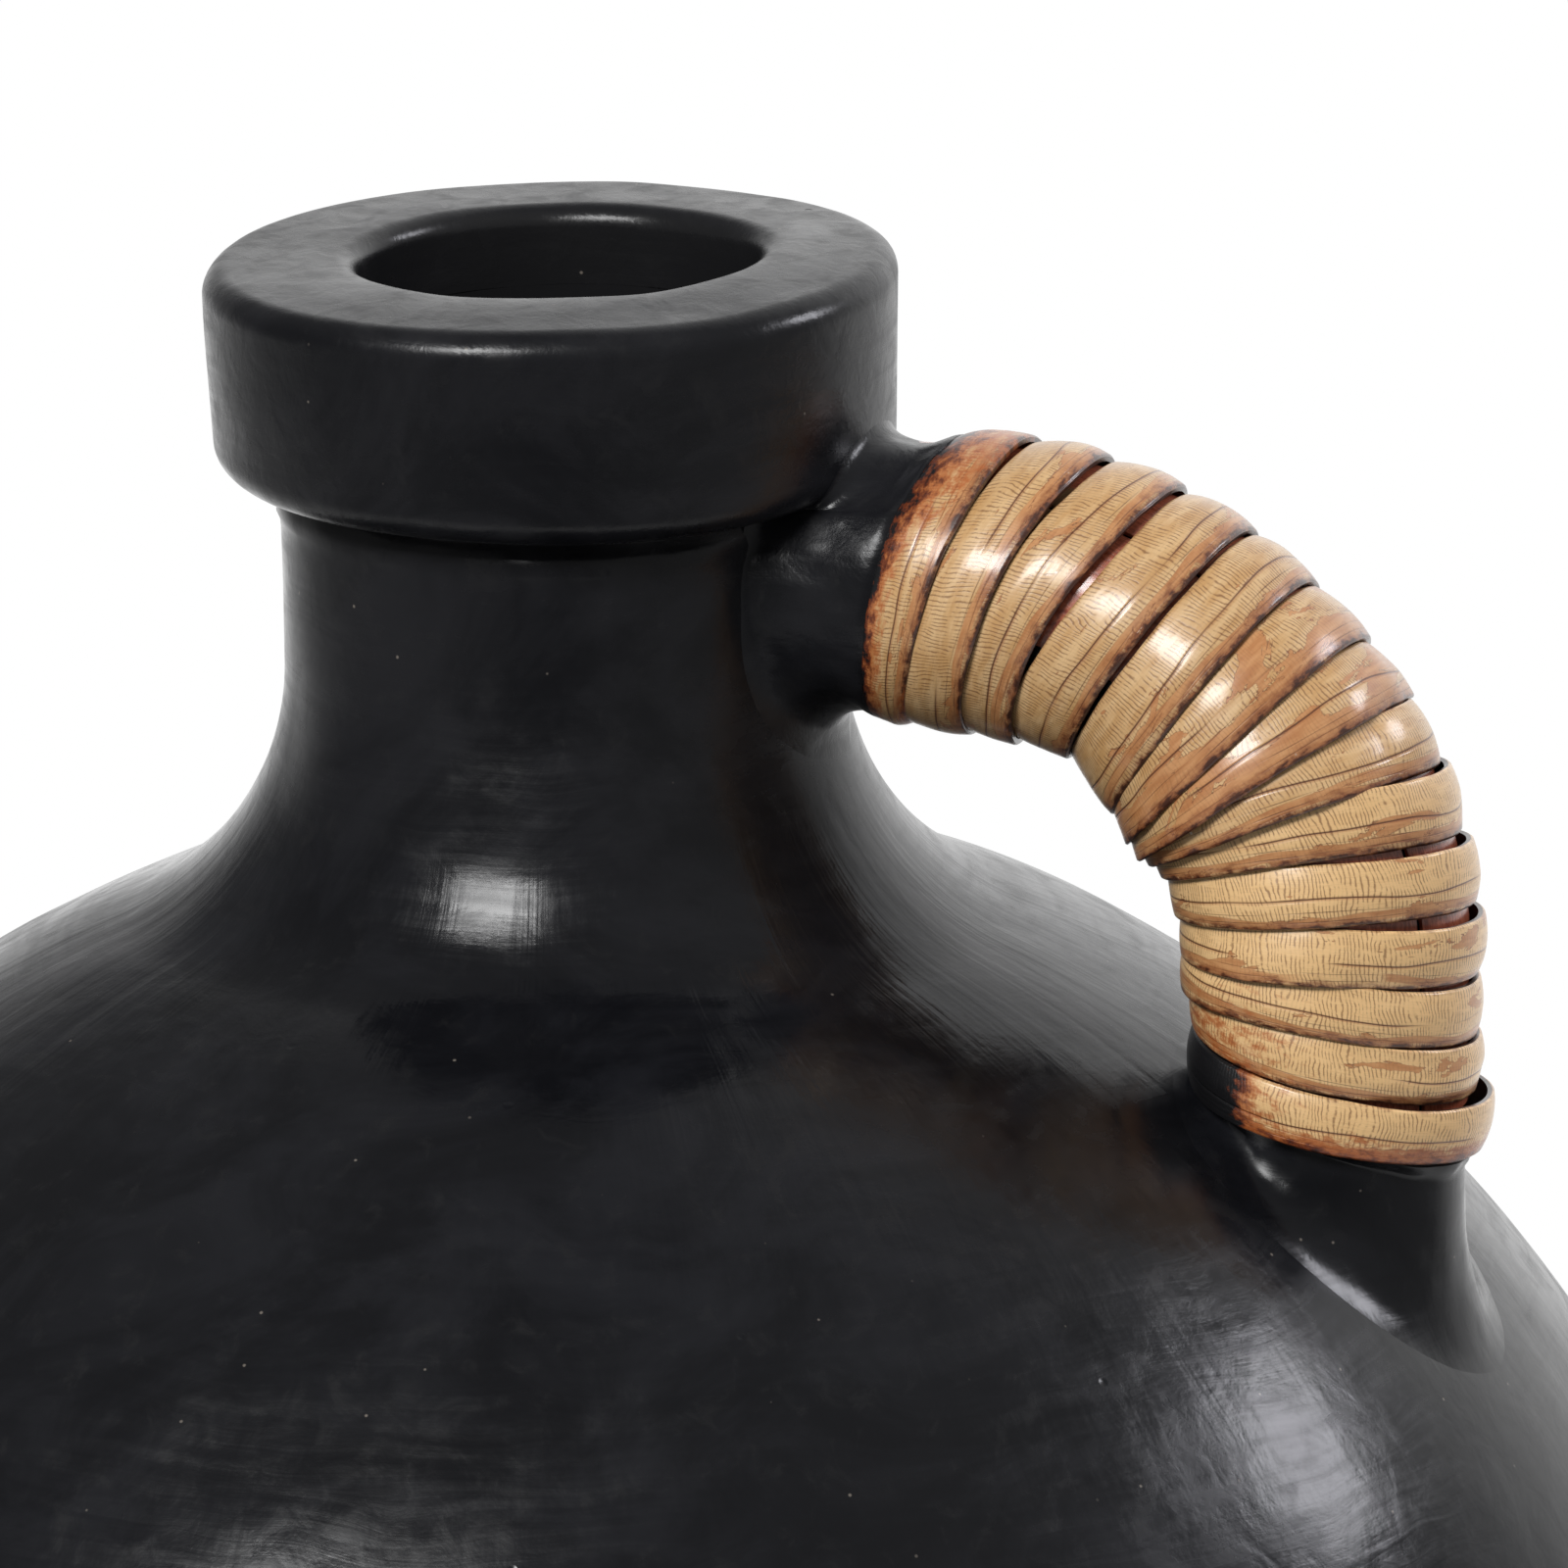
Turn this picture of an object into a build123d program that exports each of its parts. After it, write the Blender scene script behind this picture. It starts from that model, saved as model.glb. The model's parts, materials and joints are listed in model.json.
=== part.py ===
"""Black clay jug with a thick collar and one arched handle wrapped in rattan peel.

Origin at the middle of the flat base, +Z up, handle on the +X side. Millimetres.
The pot is built the way a potter builds it: a base disc, a lower bowl, a shoulder
dome, a neck tube and a rim collar, joined at scarfed or rabbeted seams. The handle
is a clay arch keyed into the neck and the shoulder, with a luted root at each end.
Three lengthwise laths lie on the arch, and two peel strips are wound over them.
"""
from build123d import *
import os
from math import sqrt, tan, radians

# ---- driving dimensions -------------------------------------------------------
HEIGHT = 480.0            # base to the flat top of the collar

BODY_RADIUS = 208.0       # outside of the round body
BODY_CENTRE_Z = 171.6
BODY_WALL = 9.5
FLOOR_THICKNESS = 12.0
BASE_DISC_RADIUS = 106.0  # at its underside, on the flat foot
BASE_DISC_FLARE = 6.0     # how much wider the disc is at its upper face

NECK_RADIUS = 48.4
NECK_FILLET = 50.0        # outside sweep from the shoulder into the neck
MOUTH_RADIUS = 34.5
MOUTH_FILLET = 55.0       # the same sweep, inside

COLLAR_BOTTOM_Z = 442.7
COLLAR_TOP_RADIUS = 60.1
COLLAR_BOTTOM_RADIUS = 58.9
COLLAR_TOP_ROUND = 5.0
COLLAR_BOTTOM_ROUND = 7.0
COLLAR_MOUTH_ROUND = 2.0
COLLAR_RABBET_Z = 466.0   # the neck tube ends here, under the collar's inner lip

EQUATOR_SEAM_RISE = 8.0   # the scarf climbs this far each side of the seam
NECK_SEAM_OUTER = (56.0, 394.0)   # the shoulder's scarf starts outside the wall here
NECK_SEAM_INNER = (46.0, 374.0)   # and ends inside it here

HANDLE_ARC_RADIUS = 62.0  # axis of the arch
HANDLE_ARC_X = 77.7
HANDLE_ARC_Z = 365.5
HANDLE_CORE_RADIUS = 21.0
HANDLE_LEG = 70.0         # straight leg below the arc, before the pot cuts it
KEY_DEPTH = 3.0           # how far the arch is let into the pot's wall
ROOT_RADIUS = 24.2        # the luted clay round the arch's upper end
LOWER_ROOT_RADIUS = 22.8  # and round its lower end, a little inside the wrapping
ROOT_FLARE_Z = 322.0      # the lower root starts to flare here
ROOT_FOOT_RADIUS = 38.0   # and would be this wide at ROOT_FOOT_Z
ROOT_FOOT_Z = 278.0

WRAP_START_X = 66.0       # where the wrapping begins on the upper root's axis
WRAP_END_Z = 339.0        # where it ends on the lower leg's axis
WRAP_RADIUS = 25.0
STRIP_THICKNESS = 2.4
LATH_THICKNESS = 1.6
LATH_WIDTH_DEGREES = 54.0
LATHS = {"outer_lath": 0.0, "front_lath": 65.0, "back_lath": -65.0}   # degrees round the arch
UPPER_STRIP_TURNS = 5
LOWER_STRIP_TURNS = 9
START_TILT = 15.0         # the first turn leans outwards at its top
START_TILT_FADE = 60.0    # and the lean fades out over this length of handle
END_TILT = 17.0           # the last turns follow the slope of the shoulder
END_TILT_FADE = 40.0

# ---- sizes worked out from those ----------------------------------------------
BODY_INNER_RADIUS = BODY_RADIUS - BODY_WALL
WRAP_INNER_RADIUS = WRAP_RADIUS - STRIP_THICKNESS
LATH_OUTER_RADIUS = HANDLE_CORE_RADIUS + LATH_THICKNESS
HANDLE_TOP_Z = HANDLE_ARC_Z + HANDLE_ARC_RADIUS
HANDLE_LEG_X = HANDLE_ARC_X + HANDLE_ARC_RADIUS
HANDLE_LEAD = HANDLE_ARC_X    # the straight lead runs back to the pot's axis, uncut
WRAP_LEAD = HANDLE_ARC_X - WRAP_START_X
WRAP_LEG = HANDLE_ARC_Z - WRAP_END_Z
ARC_LENGTH = HANDLE_ARC_RADIUS * radians(90)
WRAP_LENGTH = WRAP_LEAD + ARC_LENGTH + WRAP_LEG
TURNS = UPPER_STRIP_TURNS + LOWER_STRIP_TURNS

parts = {}


# ---- the pot ------------------------------------------------------------------
def neck_sweep(sphere_radius, tube_radius, fillet_radius):
    """Where a sweep tangent to the body sphere and to the neck starts and ends."""
    reach = sphere_radius + fillet_radius
    centre_r = tube_radius + fillet_radius
    centre_z = BODY_CENTRE_Z + sqrt(reach**2 - centre_r**2)
    share = sphere_radius / reach
    on_sphere = (centre_r * share, BODY_CENTRE_Z + (centre_z - BODY_CENTRE_Z) * share)
    return on_sphere, (tube_radius, centre_z)


def round_outline(sphere_radius, tube_radius, fillet_radius, bottom_z, top_z):
    """Half section, filled to the axis, of a sphere with a flat bottom and a neck."""
    on_sphere, on_tube = neck_sweep(sphere_radius, tube_radius, fillet_radius)
    foot_r = sqrt(sphere_radius**2 - (BODY_CENTRE_Z - bottom_z)**2)
    with BuildSketch(Plane.XZ) as section:
        with BuildLine():
            Line((0, bottom_z), (foot_r, bottom_z))
            ThreePointArc((foot_r, bottom_z), (sphere_radius, BODY_CENTRE_Z), on_sphere)
            RadiusArc(on_sphere, on_tube, fillet_radius)
            Polyline(on_tube, (tube_radius, top_z), (0, top_z), (0, bottom_z))
        make_face()
    return section.sketch


def band(*points):
    """A flat region of the half section, used to divide the wall at its seams."""
    with BuildSketch(Plane.XZ) as section:
        with BuildLine():
            Polyline(*points, close=True)
        make_face()
    return section.sketch


def rounded(section, corner, radius):
    """Rounds the corner of a section that lies at (r, z)."""
    nearest = section.vertices().sort_by_distance((corner[0], 0, corner[1]))[0]
    return fillet(nearest, radius)


def collar_section():
    """Thick flat-topped collar with an inner lip that laps over the neck tube."""
    top_corner = (COLLAR_TOP_RADIUS, HEIGHT)
    bottom_corner = (COLLAR_BOTTOM_RADIUS, COLLAR_BOTTOM_Z)
    mouth_corner = (MOUTH_RADIUS, HEIGHT)
    section = band(
        mouth_corner, top_corner, bottom_corner, (NECK_RADIUS, COLLAR_BOTTOM_Z),
        (NECK_RADIUS, COLLAR_RABBET_Z), (MOUTH_RADIUS, COLLAR_RABBET_Z),
    )
    section = rounded(section, top_corner, COLLAR_TOP_ROUND)
    section = rounded(section, bottom_corner, COLLAR_BOTTOM_ROUND)
    return rounded(section, mouth_corner, COLLAR_MOUTH_ROUND)


def spun(section):
    return revolve(section, Axis.Z, 360)


outside = round_outline(BODY_RADIUS, NECK_RADIUS, NECK_FILLET, 0, COLLAR_RABBET_Z)
inside = round_outline(BODY_INNER_RADIUS, MOUTH_RADIUS, MOUTH_FILLET, FLOOR_THICKNESS, HEIGHT)
wall = outside - inside

wide = 2 * BODY_RADIUS
seam_low = BODY_CENTRE_Z - EQUATOR_SEAM_RISE
seam_high = BODY_CENTRE_Z + EQUATOR_SEAM_RISE
seam_in_r = BODY_INNER_RADIUS - BODY_WALL
seam_out_r = BODY_RADIUS + BODY_WALL
disc_edge = [(BASE_DISC_RADIUS, 0), (BASE_DISC_RADIUS + BASE_DISC_FLARE, FLOOR_THICKNESS)]

base_band = band((0, 0), *disc_edge, (0, FLOOR_THICKNESS))
bowl_band = band(
    disc_edge[0], (wide, 0), (wide, seam_high), (seam_out_r, seam_high),
    (seam_in_r, seam_low), (BASE_DISC_RADIUS, seam_low), disc_edge[1],
)
neck_band = band(
    (0, HEIGHT), (0, NECK_SEAM_INNER[1]), NECK_SEAM_INNER, NECK_SEAM_OUTER,
    (wide, NECK_SEAM_OUTER[1]), (wide, HEIGHT),
)

parts["base_disc"] = spun(wall & base_band)
parts["lower_bowl"] = spun(wall & bowl_band)
parts["shoulder_dome"] = spun(wall - base_band - bowl_band - neck_band)
parts["neck_tube"] = spun(wall & neck_band)
parts["rim_collar"] = spun(collar_section())


# ---- the handle ---------------------------------------------------------------
def across_arch_start():
    """Section plane where the straight lead meets the arc: local x points outwards."""
    return Plane(origin=(HANDLE_ARC_X, 0, HANDLE_ARC_Z), x_dir=(0, 0, 1), z_dir=(1, 0, 0))


def across_arch_end():
    return Plane(origin=(HANDLE_ARC_X, 0, HANDLE_ARC_Z), x_dir=(1, 0, 0), z_dir=(0, 0, -1))


def ring(outer_radius, inner_radius=0.0):
    """Round or ring-shaped section centred on the handle's axis."""
    section = Pos(HANDLE_ARC_RADIUS, 0) * Circle(outer_radius)
    if inner_radius:
        section -= Pos(HANDLE_ARC_RADIUS, 0) * Circle(inner_radius)
    return section


def ring_sector(outer_radius, inner_radius, middle_degrees, width_degrees):
    """A slice of a ring section, for a flat lath lying on the arch."""
    wedge = make_face(Polyline(
        (0, 0),
        (2 * outer_radius, -2 * outer_radius * tan(radians(width_degrees / 2))),
        (2 * outer_radius, 2 * outer_radius * tan(radians(width_degrees / 2))),
        close=True,
    ))
    sector = (Circle(outer_radius) - Circle(inner_radius)) & wedge
    return Pos(HANDLE_ARC_RADIUS, 0) * Rot(0, 0, middle_degrees) * sector


def along_handle(section, lead, leg):
    """Carries a section along the straight lead, the quarter arc and the straight leg."""
    start = across_arch_start() * section
    end = across_arch_end() * section
    arc_axis = Axis((HANDLE_ARC_X, 0, HANDLE_ARC_Z), (0, 1, 0))
    arch = revolve(start, arc_axis, 90)
    lead_part = extrude(start, lead, dir=(-1, 0, 0))
    leg_part = extrude(end, leg, dir=(0, 0, -1))
    return arch + lead_part + leg_part


def tilt_at(length):
    """Lean of a turn's edge, in degrees; a positive one turns it further round the arch."""
    start_share = max(0.0, 1 - length / START_TILT_FADE)
    end_share = max(0.0, 1 - (WRAP_LENGTH - length) / END_TILT_FADE)
    return START_TILT * start_share + END_TILT * end_share


def edge_plane(length):
    """Plane across the handle at a length along the wrapping, facing the lower end."""
    if length < WRAP_LEAD:
        angle, point = 0.0, (WRAP_START_X + length, 0, HANDLE_TOP_Z)
    elif length < WRAP_LEAD + ARC_LENGTH:
        angle = 90 * (length - WRAP_LEAD) / ARC_LENGTH
        spoke = Vector(0, 0, HANDLE_ARC_RADIUS).rotate(Axis.Y, angle)
        point = Vector(HANDLE_ARC_X, 0, HANDLE_ARC_Z) + spoke
    else:
        angle, point = 90.0, (HANDLE_LEG_X, 0, HANDLE_ARC_Z - (length - WRAP_LEAD - ARC_LENGTH))
    facing = Vector(1, 0, 0).rotate(Axis.Y, angle + tilt_at(length))
    return Plane(origin=point, x_dir=(0, 1, 0), z_dir=facing)


# the whole pot filled solid, which trims whatever is luted to its outside
pot_filled = spun(outside) + spun(collar_section())
keyed_outline = round_outline(
    BODY_RADIUS - KEY_DEPTH, NECK_RADIUS - KEY_DEPTH, NECK_FILLET + KEY_DEPTH, 0, COLLAR_RABBET_Z
)
core = along_handle(ring(HANDLE_CORE_RADIUS), HANDLE_LEAD, HANDLE_LEG)
core = core - spun(keyed_outline) - parts["rim_collar"]
core = core.solids().sort_by(SortBy.VOLUME)[-1]
parts["neck_tube"] -= core
parts["shoulder_dome"] -= core
parts["handle_core"] = core

first_edge = edge_plane(0.0)
last_edge = edge_plane(WRAP_LENGTH)

upper_root = along_handle(ring(ROOT_RADIUS, HANDLE_CORE_RADIUS), HANDLE_LEAD, 1.0)
upper_root = split(upper_root, first_edge, keep=Keep.BOTTOM) - pot_filled
parts["upper_handle_root"] = upper_root.solids().sort_by(SortBy.VOLUME)[-1]

with BuildSketch(Plane.XZ) as skirt:
    with BuildLine():
        Line((LOWER_ROOT_RADIUS, HANDLE_ARC_Z), (LOWER_ROOT_RADIUS, ROOT_FLARE_Z))
        TangentArc((LOWER_ROOT_RADIUS, ROOT_FLARE_Z), (ROOT_FOOT_RADIUS, ROOT_FOOT_Z), tangent=(0, -1))
        Polyline((ROOT_FOOT_RADIUS, ROOT_FOOT_Z), (0, ROOT_FOOT_Z), (0, HANDLE_ARC_Z),
                 (LOWER_ROOT_RADIUS, HANDLE_ARC_Z))
    make_face()
lower_root = Pos(HANDLE_LEG_X, 0, 0) * revolve(skirt.sketch, Axis.Z, 360)
lower_root = split(lower_root, last_edge, keep=Keep.TOP)
lower_root = lower_root - pot_filled - core
parts["lower_handle_root"] = lower_root.solids().sort_by(SortBy.VOLUME)[-1]


# ---- the wrapping -------------------------------------------------------------
def between(solid, from_length, to_length):
    """The part of a sleeve between two stations along the wrapping."""
    piece = split(solid, edge_plane(from_length), keep=Keep.TOP)
    return split(piece, edge_plane(to_length), keep=Keep.BOTTOM)


for lath_name, lath_degrees in LATHS.items():
    lath_section = ring_sector(
        LATH_OUTER_RADIUS, HANDLE_CORE_RADIUS, lath_degrees, LATH_WIDTH_DEGREES
    )
    lath = along_handle(lath_section, HANDLE_LEAD, HANDLE_LEG)
    parts[lath_name] = between(lath, 0.0, WRAP_LENGTH)

sleeve = along_handle(ring(WRAP_RADIUS, WRAP_INNER_RADIUS), HANDLE_LEAD, HANDLE_LEG)
for turn in range(TURNS):
    if turn < UPPER_STRIP_TURNS:
        turn_name = f"upper_strip_turn_{turn + 1}"
    else:
        turn_name = f"lower_strip_turn_{turn + 1 - UPPER_STRIP_TURNS}"
    step = WRAP_LENGTH / TURNS
    parts[turn_name] = between(sleeve, turn * step, (turn + 1) * step)

# ---- one STEP file per piece --------------------------------------------------
os.makedirs("parts", exist_ok=True)
for name, shape in parts.items():
    shape.label = name
    export_step(shape, f"parts/{name}.step")
    box = shape.bounding_box()
    print(f"{name:22s} solids {len(shape.solids())}  volume {shape.volume / 1000:9.1f} cm3"
          f"  x {box.min.X:7.1f} {box.max.X:7.1f}  z {box.min.Z:7.1f} {box.max.Z:7.1f}")
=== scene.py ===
import json
import math

import bmesh
import bpy
import numpy as np
from mathutils import Matrix, Vector


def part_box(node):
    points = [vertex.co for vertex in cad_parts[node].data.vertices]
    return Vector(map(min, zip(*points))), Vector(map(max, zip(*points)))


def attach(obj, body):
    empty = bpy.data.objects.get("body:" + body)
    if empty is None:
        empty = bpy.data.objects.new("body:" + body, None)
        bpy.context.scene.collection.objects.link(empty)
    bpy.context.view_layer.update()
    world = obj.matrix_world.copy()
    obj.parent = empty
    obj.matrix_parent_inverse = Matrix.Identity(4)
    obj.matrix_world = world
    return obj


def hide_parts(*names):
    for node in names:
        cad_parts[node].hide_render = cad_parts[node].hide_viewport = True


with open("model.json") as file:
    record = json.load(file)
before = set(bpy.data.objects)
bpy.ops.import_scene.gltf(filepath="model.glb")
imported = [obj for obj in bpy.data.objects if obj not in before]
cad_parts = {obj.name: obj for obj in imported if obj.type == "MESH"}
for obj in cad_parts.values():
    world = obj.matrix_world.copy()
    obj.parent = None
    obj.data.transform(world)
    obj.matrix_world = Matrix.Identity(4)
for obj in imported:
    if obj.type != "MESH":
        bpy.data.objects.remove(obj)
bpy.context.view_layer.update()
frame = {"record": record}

MM = 0.001


# ---- sizes, from the frame where it has them ----------------------------------------
def low(node):
    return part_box(node)[0]


def high(node):
    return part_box(node)[1]


mouth = next(m for m in frame["record"]["mounts"] if m["name"] == "mouth")
MOUTH_R = mouth["dims"]["r_mm"] * MM
HEIGHT = high("rim_collar").z
BODY_R = high("shoulder_dome").x
BODY_Z = (high("lower_bowl").z + low("shoulder_dome").z) / 2
FLOOR_T = high("base_disc").z
WALL = 9.5 * MM
COLLAR_LOW = low("rim_collar").z
COLLAR_TOP_R = 60.1 * MM
COLLAR_LOW_R = 58.9 * MM
RABBET_Z = high("neck_tube").z
NECK_R = 48.4 * MM
NECK_SWEEP = 50 * MM
MOUTH_SWEEP = 55 * MM
DISC_TOP_R = high("base_disc").x
DISC_R = DISC_TOP_R - 6 * MM
MOUTH_SHIFT = Vector((1.4, 0.5, 0)) * MM            # the mouth isn't quite central

WRAP_R = 25 * MM
ARCH_R = 62 * MM                                    # of the handle's axis
LEG_X = high("lower_strip_turn_9").x - WRAP_R
ARCH_X = LEG_X - ARCH_R
ARCH_Z = 365.5 * MM
LEAD = 11.7 * MM                                    # straight stretch before the arch
ARCH_LENGTH = ARCH_R * math.pi / 2
WRAP_LENGTH = LEAD + ARCH_LENGTH + 26.5 * MM
CORE_R = 21 * MM
LATH_TOP_R = 22.6 * MM                              # outside of the laths under the wrapping
ROOT_R = 24.2 * MM


# ---- smooth noise, the same on every run ----------------------------------------------
def lattice_value(i, j, k, seed):
    """A fixed pseudo-random value in -1..1 for each lattice corner."""
    big = np.uint64(0xFFFFFFFF)
    n = (i * np.uint64(73856093)) ^ (j * np.uint64(19349663)) ^ (k * np.uint64(83492791))
    n = (n + np.uint64(seed) * np.uint64(2654435761)) & big
    n = ((n ^ (n >> np.uint64(15))) * np.uint64(2246822519)) & big
    n = ((n ^ (n >> np.uint64(13))) * np.uint64(3266489917)) & big
    return (n ^ (n >> np.uint64(16))).astype(float) / 2147483647.5 - 1


def noise(points, cell, seed):
    """Smooth noise in -1..1 at each point; cell is the size of its bumps, or one per axis."""
    scaled = np.asarray(points, float) / np.asarray(cell, float) + 1000.5
    base = np.floor(scaled)
    part = scaled - base
    part = part**3 * (part * (part * 6 - 15) + 10)
    corner = base.astype(np.uint64)
    total = np.zeros(len(scaled))
    for a, b, c in np.ndindex(2, 2, 2):
        weight = np.ones(len(scaled))
        for axis, step in enumerate((a, b, c)):
            weight *= part[:, axis] if step else 1 - part[:, axis]
        at = [corner[:, axis] + np.uint64(step) for axis, step in enumerate((a, b, c))]
        total += weight * lattice_value(*at, seed)
    return total


def line_noise(x, cell, seed):
    """Smooth noise along one coordinate."""
    x = np.asarray(x, float)
    points = np.stack([x.ravel(), np.zeros(x.size), np.zeros(x.size)], 1)
    return noise(points, cell, seed).reshape(x.shape)


def smooth_step(x, start, end):
    t = np.clip((np.asarray(x, float) - start) / (end - start), 0, 1)
    return t * t * (3 - 2 * t)


# bump size and height of each layer of unevenness left by forming the clay by hand
HAND_FORMING = [(150, 1.3), (60, 0.6), (26, 0.22), (11, 0.07)]
FULL_SIDE = np.array((-0.45, -0.89, 0.0))           # the shoulder is fuller towards here
FULL_Z = 272 * MM                                   # and most at this height
NECK_FRONT = np.array((0.12, -0.99, 0.0))           # the neck's foot is pressed in here, and fuller above
NECK_FULL_Z, NECK_PRESSED_Z = 396 * MM, 368 * MM


def hand_formed(points):
    """Moves points by the unevenness of a hand-built pot, which is the same for every piece."""
    moved = np.array(points, float)
    for layer, (cell, height) in enumerate(HAND_FORMING):
        for axis in range(3):
            moved[:, axis] += height * MM * noise(points, cell * MM, 10 * layer + axis + 1)
    radius = np.hypot(moved[:, 0], moved[:, 1])
    facing = smooth_step(moved @ FULL_SIDE / np.maximum(radius, MM), 0.2, 1.0)
    fuller = 3.2 * MM * np.exp(-(((moved[:, 2] - FULL_Z) / (40 * MM)) ** 2)) * facing
    moved[:, :2] *= (1 + fuller / np.maximum(radius, MM))[:, None]
    facing = smooth_step(moved @ NECK_FRONT / np.maximum(radius, MM), 0.5, 0.95)
    out = 2.5 * np.exp(-(((moved[:, 2] - NECK_FULL_Z) / (14 * MM)) ** 2))
    out -= 1.7 * np.exp(-(((moved[:, 2] - NECK_PRESSED_Z) / (7 * MM)) ** 2))
    moved[:, :2] *= (1 + out * MM * facing / np.maximum(radius, MM))[:, None]
    near_mouth = smooth_step(moved[:, 2], HEIGHT - 60 * MM, HEIGHT - 12 * MM)
    near_mouth *= 1 - smooth_step(radius, MOUTH_R + 2 * MM, MOUTH_R + 14 * MM)
    return moved + near_mouth[:, None] * np.array(MOUTH_SHIFT)


# ---- meshes ------------------------------------------------------------------------------
def add_mesh(name, points, faces, sharp_degrees=40, merge=False):
    """A smooth-shaded mesh object, with edges sharper than the given angle kept crisp."""
    mesh = bpy.data.meshes.new(name)
    mesh.from_pydata(np.asarray(points, float).tolist(), [], faces)
    shape = bmesh.new()
    shape.from_mesh(mesh)
    if merge:
        bmesh.ops.remove_doubles(shape, verts=shape.verts, dist=1e-7)
    bmesh.ops.recalc_face_normals(shape, faces=shape.faces)
    shape.to_mesh(mesh)
    shape.free()
    mesh.shade_smooth()
    mesh.set_sharp_from_angle(angle=math.radians(sharp_degrees))
    piece = bpy.data.objects.new(name, mesh)
    bpy.context.scene.collection.objects.link(piece)
    return piece


def grid_faces(rows, columns, close_rows=False, close_columns=False):
    """Quads of a grid of rows x columns points, wrapped round where asked."""
    faces = []
    for i in range(rows if close_rows else rows - 1):
        for j in range(columns if close_columns else columns - 1):
            below, beside = (i + 1) % rows, (j + 1) % columns
            here, there = i * columns, below * columns
            faces.append((here + j, here + beside, there + beside, there + j))
    return faces


def arc(centre, radius, start_degrees, end_degrees, spacing):
    """Points along an arc in the half section, as (r, z)."""
    sweep = math.radians(end_degrees - start_degrees)
    count = max(3, int(abs(sweep) * radius / spacing))
    angles = math.radians(start_degrees) + sweep * np.linspace(0, 1, count)
    return [(centre[0] + radius * math.cos(a), centre[1] + radius * math.sin(a)) for a in angles]


def evenly(points, spacing):
    """Adds points along an outline so that none is further apart than spacing."""
    filled = [points[0]]
    for start, end in zip(points, points[1:]):
        count = max(1, math.ceil(math.dist(start, end) / spacing))
        for step in range(1, count + 1):
            share = step / count
            filled.append(tuple(a + (b - a) * share for a, b in zip(start, end)))
    return filled


def round_corner(before, corner, after, radius, spacing):
    """Points of a round put on one corner of an outline."""
    b, c, a = (np.array(p) for p in (before, corner, after))
    u, v = (b - c) / np.linalg.norm(b - c), (a - c) / np.linalg.norm(a - c)
    half = math.acos(float(u @ v)) / 2
    reach = radius / math.tan(half)
    centre = c + (u + v) / np.linalg.norm(u + v) * radius / math.sin(half)
    rays = [c + u * reach - centre, c + v * reach - centre]
    points = []
    for share in np.linspace(0, 1, max(4, int(radius * (math.pi - 2 * half) / spacing))):
        ray = rays[0] * (1 - share) + rays[1] * share
        points.append(tuple(centre + ray / np.linalg.norm(ray) * radius))
    return points


def spin(name, outline, segments=448, shaped=None):
    """Turns a closed outline of (r, z) points round the pot's axis into one closed piece."""
    outline = [p for p, q in zip(outline, outline[1:] + outline[:1]) if math.dist(p, q) > 1e-6]
    angles = np.linspace(0, 2 * math.pi, segments, endpoint=False)
    radii, heights = np.array(outline).T
    ring = np.stack([np.cos(angles), np.sin(angles)], 1)
    points = np.zeros((len(outline), segments, 3))
    points[:, :, :2] = radii[:, None, None] * ring[None]
    points[:, :, 2] = heights[:, None]
    points = points.reshape(-1, 3)
    if shaped:
        points = shaped(points)
    faces = grid_faces(len(outline), segments, True, True)
    return add_mesh(name, hand_formed(points), faces, merge=min(radii) == 0)


# ---- the pot ------------------------------------------------------------------------------
FINE = 1.6 * MM
COARSE = 3.2 * MM


def neck_sweep(sphere_r, tube_r, sweep_r):
    """Centre of the sweep between the body sphere and the neck, and its angle on the sphere."""
    reach, centre_r = sphere_r + sweep_r, tube_r + sweep_r
    rise = math.sqrt(reach**2 - centre_r**2)
    return (centre_r, BODY_Z + rise), math.degrees(math.atan2(rise, centre_r))


def side_points(sphere_r, tube_r, sweep_r, bottom_z, top_z, spacing):
    """The wall's side from the foot up to the top of the neck."""
    centre, angle = neck_sweep(sphere_r, tube_r, sweep_r)
    foot = -math.degrees(math.asin((BODY_Z - bottom_z) / sphere_r))
    points = arc((0, BODY_Z), sphere_r, foot, angle, spacing)
    points += arc(centre, sweep_r, 180 + angle, 180, spacing)[1:]
    return points + evenly([(tube_r, centre[1]), (tube_r, top_z)], spacing)[1:]


OUTSIDE = side_points(BODY_R, NECK_R, NECK_SWEEP, 0, RABBET_Z, 0.2 * MM)
INSIDE = side_points(BODY_R - WALL, MOUTH_R, MOUTH_SWEEP, FLOOR_T, RABBET_Z, 0.2 * MM)


def radius_at(points, z):
    return np.interp(z, [p[1] for p in points], [p[0] for p in points])


def slice_z(points, bottom, top, spacing):
    """The stretch of a rising outline between two heights, with close points at both ends.

    The close points keep the shading of one piece in line with that of the next.
    """
    inner = [p for p in points if bottom + 1e-6 < p[1] < top - 1e-6]
    ends = [(float(radius_at(points, z)), z) for z in (bottom, top)]
    dense = np.array([ends[0]] + inner + [ends[1]])
    along = np.concatenate([[0], np.cumsum(np.linalg.norm(np.diff(dense, axis=0), axis=1))])
    length = along[-1]
    places = np.linspace(0, length, max(2, int(length / spacing)) + 1)[1:-1]
    close = 0.25 * MM
    places = np.concatenate([[0, close], places, [length - close, length]])
    r, z = (np.interp(places, along, dense[:, side]) for side in (0, 1))
    return [(float(a), float(b)) for a, b in zip(r, z)]


def closed(outside, inside):
    """Joins an outside stretch and an inside stretch, both rising, into one outline."""
    outline = outside + evenly([outside[-1], inside[-1]], COARSE)[1:-1] + inside[::-1]
    return outline + evenly([inside[0], outside[0]], COARSE)[1:-1]


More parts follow.
